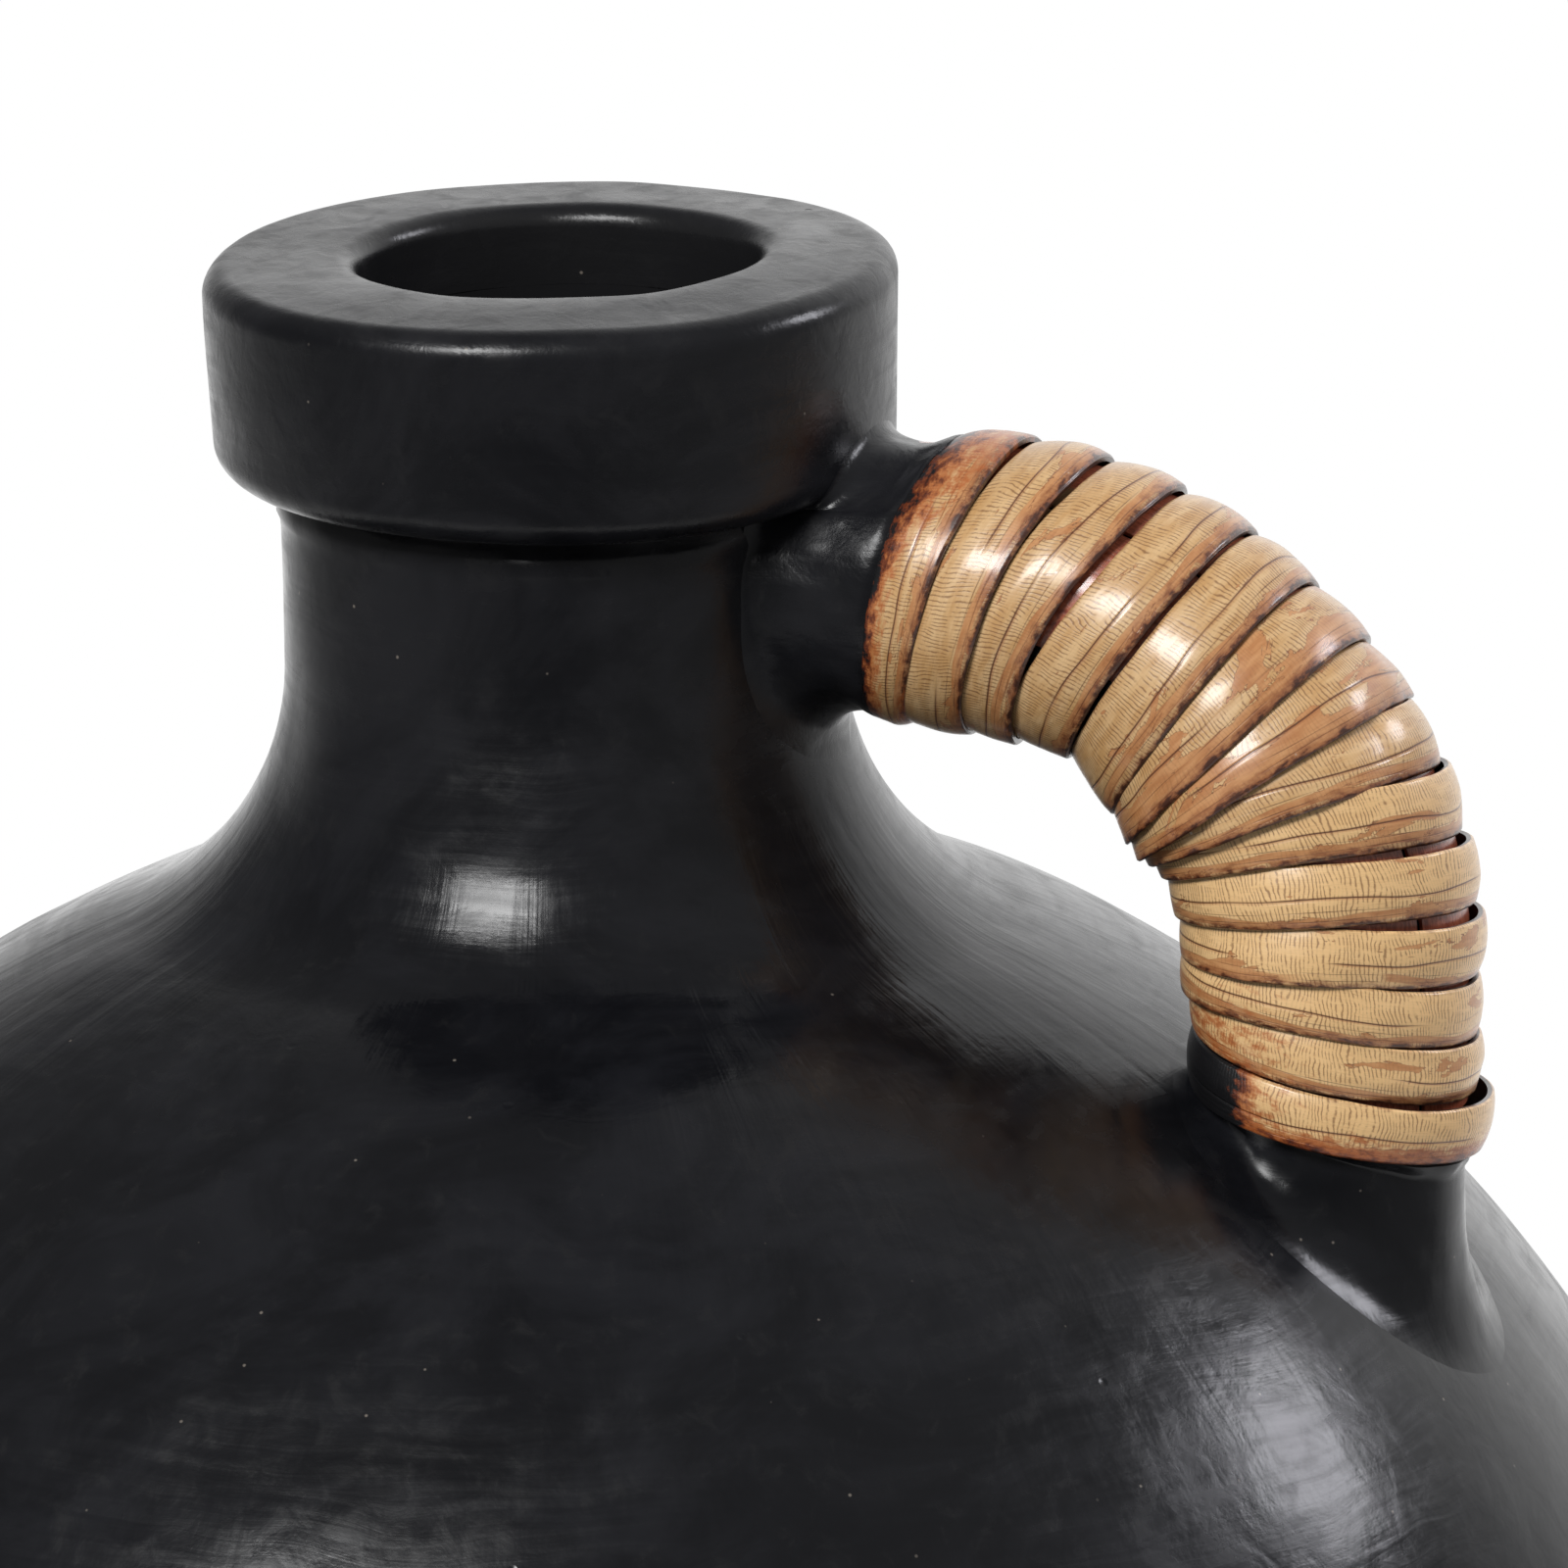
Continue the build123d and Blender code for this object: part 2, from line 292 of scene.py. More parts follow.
def collar_outline():
    low_in, low_out = (NECK_R, COLLAR_LOW), (COLLAR_LOW_R, COLLAR_LOW)
    top_out, top_in = (COLLAR_TOP_R, HEIGHT), (MOUTH_R, HEIGHT)
    lip = (MOUTH_R, RABBET_Z)
    points = [low_in] + round_corner(low_in, low_out, top_out, 6 * MM, 0.8 * MM)
    points += round_corner(low_out, top_out, top_in, 4.5 * MM, 0.6 * MM)
    points += round_corner(top_out, top_in, lip, 3.8 * MM, 0.6 * MM)
    return evenly(points + [lip, (NECK_R, RABBET_Z), low_in], FINE)[:-1]


def collar_unevenness(points):
    """The collar was laid on by hand: its top and its lower edge wander a little."""
    moved = points.copy()
    angle = np.arctan2(points[:, 1], points[:, 0])
    radius = np.hypot(points[:, 0], points[:, 1])
    ring = np.stack([np.cos(angle), np.sin(angle), np.zeros_like(angle)], 1)
    share = smooth_step(points[:, 2], COLLAR_LOW + 8 * MM, HEIGHT - 4 * MM)
    outer = smooth_step(radius, NECK_R, COLLAR_LOW_R)
    moved[:, 2] += 0.7 * MM * noise(ring, 0.6, 31) * share
    askew = -1.1 * MM * np.cos(angle + math.radians(75))
    moved[:, 2] += (askew + 0.9 * MM * noise(ring, 0.5, 32)) * (1 - share) * outer
    towards_front = (1 + np.cos(angle + math.radians(70))) / 2
    crown = smooth_step(radius, MOUTH_R + 5 * MM, COLLAR_TOP_R)
    moved[:, 2] -= (0.4 + 1.0 * towards_front) * MM * crown * share
    moved[:, :2] *= 1 + (0.010 * noise(ring, 0.7, 33) * outer)[:, None]
    return moved


def luted_joint(points):
    """A groove and a ragged bead of clay where the collar was luted on to the neck."""
    moved = points.copy()
    angle = np.arctan2(points[:, 1], points[:, 0])
    height = points[:, 2] + 1.5 * MM * line_noise(angle, 0.35, 41)
    bead = np.exp(-(((height - COLLAR_LOW + 6.0 * MM) / (1.6 * MM)) ** 2))
    size = 0.5 + 0.5 * noise(points, 9 * MM, 42)
    bead = 0.9 * bead * size - 1.5 * np.exp(-(((height - COLLAR_LOW + 1.2 * MM) / (2.4 * MM)) ** 2))
    outside = np.hypot(points[:, 0], points[:, 1]) > NECK_R - 3 * MM
    moved[:, :2] *= 1 + (bead * outside * MM / NECK_R)[:, None]
    return moved


def make_pot():
    seam_out, seam_in = high("lower_bowl").z, low("shoulder_dome").z
    neck_out, neck_in = high("shoulder_dome").z, low("neck_tube").z

    disc = evenly([(0, 0), (DISC_R, 0)], COARSE) + evenly([(DISC_TOP_R, FLOOR_T), (0, FLOOR_T)], COARSE)
    foot_r = OUTSIDE[0][0]
    foot = [(DISC_R, 0)] + round_corner((DISC_R, 0), (foot_r, 0), OUTSIDE[60], 10 * MM, FINE)
    bowl_out = evenly(foot, COARSE) + slice_z(OUTSIDE, foot[-1][1], seam_out, FINE)[1:]
    bowl_in = [(DISC_TOP_R, FLOOR_T)] + slice_z(INSIDE, FLOOR_T, seam_in, COARSE)
    dome_in = slice_z(INSIDE, seam_in, neck_in, COARSE)
    dome = closed(slice_z(OUTSIDE, seam_out, neck_out, FINE), dome_in)
    neck_side = slice_z(OUTSIDE, neck_out, RABBET_Z, FINE)
    neck = closed(neck_side, slice_z(INSIDE, neck_in, RABBET_Z, COARSE))
    return {
        "base_disc": spin("base_disc_clay", disc),
        "lower_bowl": spin("lower_bowl_clay", closed(bowl_out, evenly(bowl_in, COARSE))),
        "shoulder_dome": spin("shoulder_dome_clay", dome),
        "neck_tube": spin("neck_tube_clay", neck, shaped=luted_joint),
        "rim_collar": spin("rim_collar_clay", collar_outline(), shaped=collar_unevenness),
    }


# ---- the handle's axis ------------------------------------------------------------------------
FRONT = np.array([0.0, -1.0, 0.0])      # the handle's side that is seen with it on the right


def handle_axis(station):
    """Centre, forward direction and outward direction on the handle's axis at each station."""
    s = np.asarray(station, float)
    angle = np.clip((s - LEAD) / ARCH_R, 0, math.pi / 2)
    outward = np.stack([np.sin(angle), np.zeros_like(s), np.cos(angle)], -1)
    forward = np.stack([np.cos(angle), np.zeros_like(s), -np.sin(angle)], -1)
    straight = np.minimum(s - LEAD, 0) + np.maximum(s - LEAD - ARCH_LENGTH, 0)
    centre = np.array([ARCH_X, 0, ARCH_Z]) + ARCH_R * outward + forward * straight[..., None]
    return centre, forward, outward


def on_handle(station, around, radius):
    """Points at a station, an angle round the handle from its outer side, and a radius."""
    station, around, radius = np.broadcast_arrays(station, around, radius)
    centre, _, outward = handle_axis(station)
    spoke = np.cos(around)[..., None] * outward + np.sin(around)[..., None] * FRONT
    return centre + radius[..., None] * spoke


def bend_share(station):
    """1 within the arch and 0 in its straight ends, with a short change between them."""
    entry = smooth_step(station, LEAD - 5 * MM, LEAD + 5 * MM)
    leaving = smooth_step(station, LEAD + ARCH_LENGTH - 5 * MM, LEAD + ARCH_LENGTH + 5 * MM)
    return entry - leaving


# ---- the path of the wound strips ---------------------------------------------------------------
TURNS = 14
STRIP_CHANGE = 5.5       # the upper strip ends and the lower one begins, counted in turns
PITCH = 9.8 * MM


def strip_middle(turns):
    """Station of the middle of the strip at a count of turns from the handle's upper end.

    Each turn leans back on the inner side of the arch, the middle ones less than the others.
    """
    outer = 0.95 * MM + PITCH * turns + 1.75 * MM * np.sin(2 * math.pi * (turns - 0.3) / 15)
    lean = 9.5 + 3 * smooth_step(turns, 0.5, 1.3) - 15.5 * smooth_step(turns, 2.9, 4.6)
    lean = lean + 13.5 * smooth_step(turns, 5.6, 8.8) - 5.5 * smooth_step(turns, 8.8, 10.2)
    lean = lean + 3 * smooth_step(turns, 10.6, 12.6)
    wander = 0.35 * MM * line_noise(turns, 0.45, 61)
    return outer - lean * MM * (1 - np.cos(2 * math.pi * turns)) / 2 + wander


def strip_width(turns):
    """The peel narrows down the handle, and both ends of the wrapping are cut to a taper."""
    taper = 0.45 * (1 - smooth_step(turns, 0.5, 0.95)) + 0.35 * smooth_step(turns, TURNS, TURNS + 0.5)
    return (12.7 - 2.8 * smooth_step(turns, 6, 12.5)) * (1 - taper) * MM


def strip_spread(turns):
    """How much the outside of the arch stretches a length of its axis, at the strip."""
    share = bend_share(strip_middle(turns))
    return 1 + share * (LATH_TOP_R + MM) / ARCH_R * np.cos(2 * math.pi * turns)


def edge_station(turns, side):
    """Station of the strip's edge: side -1 is the one towards the handle's upper end."""
    return strip_middle(turns) + side * strip_width(turns) / 2 / strip_spread(turns)


# ---- the wound strips ------------------------------------------------------------------------------
EDGE_T = 1.15 * MM       # thickness of the peel at its edges and, with its hollow, at its crown
CROWN_T = 2.0 * MM
HOLLOW = 0.7 * MM


def strip_thickness(across):
    crown = EDGE_T + (CROWN_T - EDGE_T) * (1 - across**2)
    return crown - 0.3 * MM * smooth_step(np.abs(across), 0.92, 1.0) ** 2


def free_slope(turns):
    """Slope across a turn that lies free: the upper ones rise towards the next, the others fall."""
    falling = smooth_step(turns, 6.4, 7.2)
    facing = (1 + np.cos(2 * math.pi * turns)) / 2
    last = 0.14 * smooth_step(turns, 13.2, 14)
    return 0.07 - (0.21 + last) * falling * smooth_step(facing, 0.55, 0.95)


def strip_slope(turns):
    """Slope across the strip that lets each turn lap over the next one."""
    width = strip_width(turns)
    spacing = (strip_middle(turns + 1) - strip_middle(turns)) * strip_spread(turns)
    spacing = np.maximum(spacing, 3.2 * MM)
    overlap = width - spacing
    share = 1 - np.clip(2 * overlap / width, 0, 1)
    lapped = (EDGE_T + (CROWN_T - EDGE_T) * (1 - share**2)) / spacing
    blend = smooth_step(overlap, -1.2 * MM, 1.2 * MM)
    steepest = 0.42 - 0.17 * smooth_step(turns, 6.5, 8.5)
    return np.minimum(lapped, steepest) * blend + free_slope(turns) * (1 - blend)


def make_strip(name, first, last, seed, steps_per_turn=170):
    """One peel strip: a hollow-backed crescent section carried round the handle."""
    turns = np.linspace(first, last, int((last - first) * steps_per_turn) + 1)
    top_v = np.sin(np.linspace(-1, 1, 37) * math.pi / 2)
    under_v = np.linspace(1, -1, 9)
    across = np.concatenate([top_v, under_v])
    on_top = np.concatenate([np.ones(len(top_v)), np.zeros(len(under_v))])

    ragged = 0.25 * MM * line_noise(turns, 0.035, seed) + 0.2 * MM * line_noise(turns, 0.13, seed + 1)
    width = strip_width(turns) + ragged
    slope = strip_slope(turns)
    rise = slope[:, None] * (across + 1) / 2 - np.minimum(slope, 0)[:, None]
    rise = rise * width[:, None]
    section = on_top * strip_thickness(across) + (1 - on_top) * HOLLOW * (1 - across**2)
    places = np.stack([turns.repeat(len(across)), np.tile(across, len(turns)) * 0.2,
                       np.zeros(len(turns) * len(across))], 1)
    uneven = 0.28 * MM * noise(places, 0.16, seed + 2).reshape(len(turns), -1)
    end_lift = 1.9 * MM * smooth_step(turns, STRIP_CHANGE - 0.2, STRIP_CHANGE - 0.02)
    end_lift = end_lift * (last <= STRIP_CHANGE)
    end_lift += 0.9 * MM * smooth_step(turns, TURNS - 0.6, TURNS - 0.3)
    radius = LATH_TOP_R + 0.15 * MM + rise + section + uneven + end_lift[:, None]

    station = strip_middle(turns)[:, None] + across * (width / 2 / strip_spread(turns))[:, None]
    around = -2 * math.pi * turns[:, None]
    points = on_handle(station, around, radius)
    rows, columns = station.shape
    faces = grid_faces(rows, columns, close_columns=True)
    faces.append(tuple(range(columns)))
    faces.append(tuple(range((rows - 1) * columns, rows * columns)))
    piece = add_mesh(name, hand_formed(points.reshape(-1, 3)), faces, 50)

    middle = points[:, len(top_v) // 2]
    steps = np.linalg.norm(np.diff(middle, axis=0), axis=1)
    along = np.concatenate([[0], np.cumsum(steps)])
    place = np.stack([along.repeat(columns), np.tile(across, rows), turns.repeat(columns)], 1)
    attribute = piece.data.attributes.new("strip", "FLOAT_VECTOR", "POINT")
    attribute.data.foreach_set("vector", place.astype(np.float32).ravel())
    attribute = piece.data.attributes.new("skin", "FLOAT", "POINT")
    attribute.data.foreach_set("value", np.tile(on_top, rows).astype(np.float32))
    return piece


# ---- the clay of the handle: its core and the two luted roots -----------------------------------
TOP_Z = ARCH_Z + ARCH_R
collar_side = [p for p in collar_outline() if p[0] > COLLAR_LOW_R - 6.1 * MM and p[1] < HEIGHT - 5 * MM]
WALL_OUTLINE = [p for p in OUTSIDE if p[1] < COLLAR_LOW - 0.1 * MM] + sorted(collar_side, key=lambda p: p[1])


def wall_station_above(around, radius):
    """Station, running back from the handle's upper end, where a line along it meets the pot."""
    sideways, z = radius * np.sin(around), TOP_Z + radius * np.cos(around)
    x = np.sqrt(np.maximum(radius_at(WALL_OUTLINE, z)**2 - sideways**2, 1e-8))
    return x - (ARCH_X - LEAD)


def wall_station_below(around, radius):
    """The same for the handle's lower end, where the line runs down into the shoulder."""
    reach = np.hypot(LEG_X + radius * np.cos(around), radius * np.sin(around))
    upper_side = [p for p in OUTSIDE if p[1] > BODY_Z][::-1]
    z = np.interp(reach, [p[0] for p in upper_side], [p[1] for p in upper_side])
    return LEAD + ARCH_LENGTH + ARCH_Z - z


def root_end_above(around):
    """Where the upper root stops, at the first turn's edge; around runs from -pi to pi."""
    turns = 1 - around / (2 * math.pi)
    return edge_station(turns, -1) + 1.2 * MM + 0.8 * MM * line_noise(around, 0.25, 71)


def root_end_below(around):
    turns = TURNS - around / (2 * math.pi)
    edge = edge_station(turns, 1) + 0.6 * MM * line_noise(around, 0.25, 72)
    return np.minimum(edge, wall_station_below(around, ROOT_R) - 1.5 * MM)


def make_root(name, end, wall_station, into_wall, radii, narrowing, along, spread, columns=240):
    """A luted collar of clay round one end of the arch, flaring out on to the pot.

    radii gives its radius at the wrapping and at its waist, and narrowing the share of its
    length between them.
    """
    around = np.linspace(-math.pi, math.pi, columns, endpoint=False)
    end_r, waist_r = radii
    stop, hit = end(around), wall_station(around, waist_r)
    length = np.minimum(along(around), np.abs(hit - stop) * 0.85)
    flare = spread(around)
    start = hit - into_wall * length
    bore = np.full(columns, CORE_R + 0.1 * MM)
    inner_hit = wall_station(around, bore) + into_wall * 2.5 * MM

    # up the stub, out along the skirt to its edge just under the wall's skin, and back down the bore
    loop = [(stop, bore), (stop, bore + (end_r - bore) * 0.7)]
    for share in np.linspace(0.06, 1, 14):
        edge = end_r - 0.35 * MM * (1 - min(share / 0.12, 1))
        narrowed = float(smooth_step(share, 0, narrowing))
        loop.append((stop + (start - stop) * share, edge + (waist_r - edge) * narrowed))
    skirt_row = len(loop)
    skirt_shares = np.linspace(0, 1, 20)[1:]
    knots = [start, hit, wall_station(around, waist_r + flare * 0.5), wall_station(around, waist_r + flare)]
    knots[3] = knots[3] + into_wall * 0.6 * MM
    for t in skirt_shares:
        u = 1 - t
        weights = (u**3, 3 * u * u * t, 3 * u * t * t, t**3)
        station = sum(weight * knot for weight, knot in zip(weights, knots))
        loop.append((station, waist_r + (0.5 * weights[2] + weights[3]) * flare))
    hidden_row = len(loop)
    loop.append((knots[3] + into_wall * 2.5 * MM, waist_r + flare))
    for share in np.linspace(0, 1, 6)[:-1]:
        loop.append((inner_hit + (stop - inner_hit) * share, bore))
    points = np.stack([on_handle(station, around, radius) for station, radius in loop])
    lumps = noise(points.reshape(-1, 3), 12 * MM, 75).reshape(points.shape[:2])
    lumps += 0.5 * noise(points.reshape(-1, 3), 4 * MM, 76).reshape(points.shape[:2])
    outside = np.array([float(np.min(radius) > CORE_R + MM) for _, radius in loop])
    outside[skirt_row:hidden_row] *= 1 - skirt_shares**2
    outside[hidden_row:] = 0
    away = points - on_handle(loop[0][0], around, 0.0)[None]
    away /= np.linalg.norm(away, axis=2)[..., None]
    points += away * (lumps * outside[:, None] * 0.45 * MM)[..., None]
    return add_mesh(name, hand_formed(points.reshape(-1, 3)), grid_faces(len(loop), columns, True, True))


def make_core(columns=96):
    """The clay arch itself, let into the wall at both ends."""
    around = np.linspace(-math.pi, math.pi, columns, endpoint=False)
    radius = np.full(columns, CORE_R)
    first = wall_station_above(around, radius) - 2.5 * MM
    last = wall_station_below(around, radius) + 2.5 * MM
    rows = [on_handle(first + (last - first) * share, around, radius) for share in np.linspace(0, 1, 121)]
    faces = grid_faces(len(rows), columns, close_columns=True)
    faces.append(tuple(range(columns)))
    faces.append(tuple(range((len(rows) - 1) * columns, len(rows) * columns)))
    return add_mesh("handle_core_clay", hand_formed(np.concatenate(rows)), faces, 60)


def make_lath(name, middle_degrees, seed):
    """A split-cane lath on the arch: a thin crescent with slightly wandering edges."""
    stations = np.linspace(-3 * MM, WRAP_LENGTH - 2 * MM, 150)
    across = np.linspace(-1, 1, 17)
    half = math.radians(31) + 0.02 * line_noise(stations, 22 * MM, seed)
    middle = math.radians(middle_degrees) + 0.01 * line_noise(stations, 40 * MM, seed + 1)
    around = middle[:, None] + half[:, None] * across
    top_r = LATH_TOP_R - 0.7 * MM * across**4 + 0.12 * MM * line_noise(stations, 9 * MM, seed + 2)[:, None]
    top = on_handle(stations[:, None], around, top_r)
    under = on_handle(stations[:, None], around[:, ::-1], CORE_R + 0.12 * MM)
    points = np.concatenate([top, under], 1)
    rows, columns = points.shape[:2]
    faces = grid_faces(rows, columns, close_columns=True)
    faces.append(tuple(range(columns)))
    faces.append(tuple(range((rows - 1) * columns, rows * columns)))
    return add_mesh(name, hand_formed(points.reshape(-1, 3)), faces, 50)


def mark_stain(strip):
    """Stores how near each point of a strip is to the painted clay of the roots, from 0 to 1."""
    mesh = strip.data
    place = np.zeros(len(mesh.vertices) * 3, np.float32)
    mesh.attributes["strip"].data.foreach_get("vector", place)
    across, turns = place.reshape(-1, 3)[:, 1], place.reshape(-1, 3)[:, 2]
    station = strip_middle(turns) + across * strip_width(turns) / 2 / strip_spread(turns)
    around = (math.pi - 2 * math.pi * turns) % (2 * math.pi) - math.pi
    facing_out = smooth_step(np.cos(around), 0.2, 0.9)
    from_top = (station - root_end_above(around) + MM) / ((5 + 9 * facing_out) * MM)
    from_bottom = (edge_station(TURNS - around / (2 * math.pi), 1) - station) / (6 * MM)
    top = np.clip(1.05 - from_top, 0, 1.1) * (turns < 1.6)
    bottom = 0.8 * np.clip(1 - from_bottom, 0, 1) * (turns > TURNS - 1)
    smeared = 1.3 * smooth_step(around, 1.6, 2.2) * smooth_step(turns, TURNS - 1, TURNS - 0.9)
    lapped = 0.75 * smooth_step(around, 1.9, 2.4) * smooth_step(across, 0.3, 1.0) * (turns < 1)
    handled = 0.42 * smooth_step(turns, 10.5, 12.8) * smooth_step(around, 0.9, 2.2) * (turns < TURNS - 0.1)
    lapped = np.maximum(lapped, handled)
    stain = np.clip(np.maximum(np.maximum(top, bottom), np.maximum(smeared, lapped)), 0, 1.3)
    attribute = mesh.attributes.new("stain", "FLOAT", "POINT")
    attribute.data.foreach_set("value", stain.astype(np.float32))


# ---- materials ---------------------------------------------------------------------------------------
class Shader:
    """Builds a material's nodes from short calls; each call returns an output socket."""

    def __init__(self, name):
        self.material = bpy.data.materials.new(name)
        self.material.use_nodes = True
        self.tree = self.material.node_tree
        self.surface = self.tree.nodes["Principled BSDF"]
        self.place = self.add("TexCoord").outputs["Object"]

    def add(self, kind, **settings):
        node = self.tree.nodes.new("ShaderNode" + kind)
        for key, value in settings.items():
            setattr(node, key, value)
        return node

    def put(self, socket, value):
        if isinstance(value, bpy.types.NodeSocket):
            self.tree.links.new(value, socket)
        else:
            socket.default_value = value

    def math(self, operation, a, b=0.0, clamp=False):
        node = self.add("Math", operation=operation, use_clamp=clamp)
        self.put(node.inputs[0], a)
        self.put(node.inputs[1], b)
        return node.outputs[0]

    def stretched(self, vector, x, y, z):
        node = self.add("VectorMath", operation="MULTIPLY")
        self.put(node.inputs[0], vector)
        node.inputs[1].default_value = (x, y, z)
        return node.outputs[0]

    def turned(self, vector, x, y, z):
        node = self.add("VectorRotate", rotation_type="EULER_XYZ")
        self.put(node.inputs["Vector"], vector)
        node.inputs["Rotation"].default_value = (x, y, z)
        return node.outputs[0]

    def noise(self, vector, scale=1.0, detail=3.0, rough=0.5, warp=0.0):
        node = self.add("TexNoise")
        self.put(node.inputs["Vector"], vector)
        self.put(node.inputs["Scale"], scale)
        self.put(node.inputs["Detail"], detail)
        self.put(node.inputs["Roughness"], rough)
        self.put(node.inputs["Distortion"], warp)
        return node.outputs["Fac"]

    def cells(self, vector, scale=1.0, output="Distance"):
        node = self.add("TexVoronoi")
        self.put(node.inputs["Vector"], vector)
        self.put(node.inputs["Scale"], scale)
        return node.outputs[output]

    def fit(self, value, low, high, to_low=0.0, to_high=1.0):
        """Smooth step of a value from one range to another."""
        node = self.add("MapRange", interpolation_type="SMOOTHSTEP")
        for socket, number in zip(node.inputs, (value, low, high, to_low, to_high)):
            self.put(socket, number)
        return node.outputs[0]

    def mix(self, share, a, b):
        node = self.add("Mix", data_type="RGBA")
        self.put(node.inputs[0], share)
        self.put(node.inputs[6], a)
        self.put(node.inputs[7], b)
        return node.outputs[2]

    def attribute(self, name, output):
        return self.add("Attribute", attribute_name=name).outputs[output]

    def parts(self, vector):
        node = self.add("SeparateXYZ")
        self.put(node.inputs[0], vector)
        return node.outputs[0], node.outputs[1], node.outputs[2]

    def joined(self, x, y, z):
        node = self.add("CombineXYZ")
        for socket, value in zip(node.inputs, (x, y, z)):
            self.put(socket, value)
        return node.outputs[0]

    def bump(self, height, distance, before=None):
        node = self.add("Bump")
        self.put(node.inputs["Height"], height)
        node.inputs["Distance"].default_value = distance
        if before:
            self.put(node.inputs["Normal"], before)
        return node.outputs[0]

    def finish(self, **values):
        for name, value in values.items():
            self.put(self.surface.inputs[name.replace("_", " ")], value)
        return self.material


def colour(red, green, blue):
    """A material colour from a display colour of 0..255 levels."""
    def linear(level):
        share = level / 255
        return share / 12.92 if share <= 0.04045 else ((share + 0.055) / 1.055) ** 2.4
    return (linear(red), linear(green), linear(blue), 1)


def make_clay(name, roughness, relief):
    """Smoked, burnished black clay: satin, with the streaks of the burnishing stone.

    roughness is added where the burnishing was less thorough; relief scales the lumps and pits.
    """
    s = Shader(name)
    tilted = s.turned(s.place, 0.6, 0.5, 0.9)
    patches = s.noise(tilted, 14, 4, 0.6, 0.6)
    mottle = s.noise(tilted, 150, 4, 0.6, 0.5)
    x, y, z = s.parts(s.place)
    wavy_z = s.math("ADD", z, s.math("MULTIPLY", s.noise(s.place, 25, 2), 0.008))
    streaks = s.noise(s.stretched(s.joined(x, y, wavy_z), 22, 22, 500), 1, 4, 0.6, 0.5)
    grain = s.noise(s.place, 1500, 3, 0.6)
    clouds = s.noise(s.stretched(tilted, 1, 1, 1.6), 24, 5, 0.62, 0.8)

    # near-black, cloudy, a little greyer towards the top and in the mouth, with pale specks of grit
    dark, light = (0.0052, 0.0054, 0.0068, 1), (0.0112, 0.0116, 0.0142, 1)
    light = s.mix(s.fit(z, 0.36, 0.42), light, (0.0125, 0.0127, 0.0150, 1))
    base = s.mix(s.fit(clouds, 0.36, 0.68), dark, light)
    base = s.mix(s.fit(mottle, 0.55, 0.75, 0, 0.5), base, (0.015, 0.015, 0.016, 1))
    reach = s.math("SQRT", s.math("ADD", s.math("MULTIPLY", x, x), s.math("MULTIPLY", y, y)))
    base = s.mix(s.fit(reach, MOUTH_R + 3 * MM, MOUTH_R), base, (0.013, 0.013, 0.014, 1))
    speck_chance = s.cells(s.place, 260, "Color")
    speck = s.math("MULTIPLY", s.fit(s.cells(s.place, 260), 0.10, 0.04), s.fit(speck_chance, 0.80, 0.86))
    base = s.mix(speck, base, (0.16, 0.14, 0.12, 1))

    # gloss: uneven, streaked, and best burnished at the neck's foot
    rough = s.math("ADD", s.fit(patches, 0.3, 0.75, 0.16, 0.23), s.fit(clouds, 0.4, 0.7, 0, 0.04))
    rough = s.math("ADD", rough, s.fit(streaks, 0.35, 0.7, -0.02, 0.05))
    rough = s.math("ADD", rough, s.fit(mottle, 0.4, 0.75, roughness - 0.02, 1.5 * roughness + 0.07))
    neck_foot = s.math("MULTIPLY", s.fit(z, 0.35, 0.365), s.fit(z, 0.425, 0.41))
    rough = s.math("ADD", rough, s.math("MULTIPLY", neck_foot, s.fit(z, 0.372, 0.392, -0.06, 0.03)))

    # relief: facets and strokes of the stone, down the shoulder and round the rest, lumps and pits
    facets = s.bump(s.noise(s.turned(s.place, 0.9, 0.3, 0.4), 85, 3, 0.45, 0.8), 0.11 * MM)
    around = s.noise(s.stretched(s.joined(x, y, wavy_z), 16, 16, 75), 1, 3, 0.5, 0.6)
    turn_x, turn_y = (s.math("MULTIPLY", s.math("DIVIDE", side, reach), 10) for side in (x, y))
    down = s.noise(s.joined(turn_x, turn_y, s.math("MULTIPLY", wavy_z, 10)), 1, 4, 0.55, 0.5)
    shoulder = s.math("MULTIPLY", s.fit(z, 0.27, 0.31), s.fit(z, 0.40, 0.37))
    strokes = s.math("ADD", s.math("MULTIPLY", down, shoulder),
                     s.math("MULTIPLY", around, s.math("SUBTRACT", 1.0, shoulder)))
    lumps = s.bump(mottle, 0.06 * MM * relief, s.bump(strokes, 0.22 * MM, facets))
    lined = s.bump(streaks, 0.035 * MM, lumps)
    pit_chance = s.cells(s.place, 120, "Color")
    pits = s.math("MULTIPLY", s.fit(s.cells(s.place, 120), 0.12, 0.02), s.fit(pit_chance, 0.84, 0.9))
    pitted = s.bump(pits, -0.12 * MM * relief, lined)
    normal = s.bump(grain, 0.010 * MM * relief, pitted)
    return s.finish(Base_Color=base, Roughness=rough, Normal=normal, Specular_IOR_Level=0.3)


